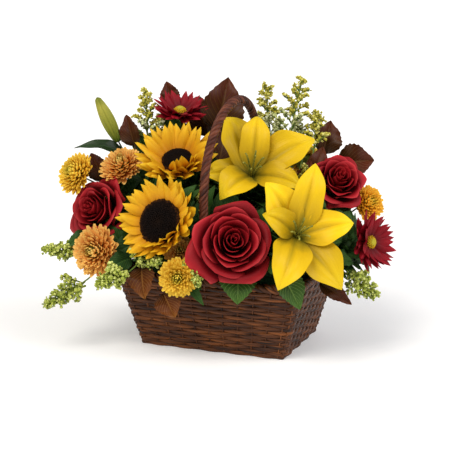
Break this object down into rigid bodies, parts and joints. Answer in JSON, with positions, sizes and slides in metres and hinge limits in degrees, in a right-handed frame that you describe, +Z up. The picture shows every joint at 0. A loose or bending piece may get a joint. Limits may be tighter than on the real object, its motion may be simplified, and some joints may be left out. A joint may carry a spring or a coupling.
{
  "type": "flower basket arrangement",
  "caption": "Oblong wicker basket with a fixed hoop handle, filled with roses, lilies, sunflowers, daisies, mums, solidago and leaves standing in floral foam.",
  "frame": {"origin": "middle of the basket's flat underside", "axes": "+X along the basket's long side, to the right seen from the front; -Y out of the front; +Z up"},
  "size_m": [0.4073, 0.3194, 0.3101],
  "materials": {
    "wicker": "stained split wicker, satin",
    "liner": "thin moulded tub",
    "foam": "wet open-cell floral foam",
    "rose_petal": "velvety petal",
    "lily_petal": "smooth waxy petal",
    "lily_centre": "pistil and filaments",
    "lily_bud": "smooth closed bud",
    "sunflower_ray": "ray petal",
    "sunflower_disc": "packed florets",
    "daisy_ray": "ray petal",
    "daisy_eye": "packed florets",
    "stem": "fresh stem",
    "mum_gold": "dense petals",
    "mum_bronze": "dense petals",
    "solidago": "small florets on a plume",
    "copper_leaf": "glossy preserved leaf",
    "green_leaf": "fresh leaf"
  },
  "bodies": {
    "root": {"basket_handle": "wicker", "basket_rim": "wicker", "basket_shell": "wicker", "copper_back": "copper_leaf", "copper_front": "copper_leaf", "copper_left": "copper_leaf", "copper_right": "copper_leaf", "foam": "foam", "green_leaf_front": "green_leaf", "green_leaf_right": "green_leaf", "lily_bud": "lily_bud", "lily_lower_centre": "lily_centre", "lily_lower_stem": "stem", "lily_lower_tepals": "lily_petal", "lily_upper_centre": "lily_centre", "lily_upper_stem": "stem", "lily_upper_tepals": "lily_petal", "liner": "liner", "mum_back_bronze": "mum_bronze", "mum_back_gold": "mum_gold", "mum_back_stem": "stem", "mum_far_left": "mum_gold", "mum_front_bronze": "mum_bronze", "mum_front_gold": "mum_gold", "mum_front_stem": "stem", "mum_left_stem": "stem", "mum_lower_left": "mum_bronze", "mum_lower_left_stem": "stem", "mum_right": "mum_gold", "mum_right_stem": "stem", "mum_upper_left": "mum_bronze", "red_daisy_right_eye": "daisy_eye", "red_daisy_right_rays": "daisy_ray", "red_daisy_right_stem": "stem", "red_daisy_top_eye": "daisy_eye", "red_daisy_top_rays": "daisy_ray", "red_daisy_top_stem": "stem", "rose_back_bloom": "rose_petal", "rose_back_stem": "stem", "rose_front_bloom": "rose_petal", "rose_front_stem": "stem", "rose_left_bloom": "rose_petal", "rose_left_stem": "stem", "rose_right_bloom": "rose_petal", "rose_right_stem": "stem", "solidago_front_left": "solidago", "solidago_left": "solidago", "solidago_low_left": "solidago", "solidago_low_right": "solidago", "solidago_right": "solidago", "solidago_top_left": "solidago", "solidago_top_middle": "solidago", "solidago_top_right": "solidago", "sunflower_lower_disc": "sunflower_disc", "sunflower_lower_rays": "sunflower_ray", "sunflower_lower_stem": "stem", "sunflower_upper_disc": "sunflower_disc", "sunflower_upper_rays": "sunflower_ray", "sunflower_upper_stem": "stem"}
  },
  "joints": []
}
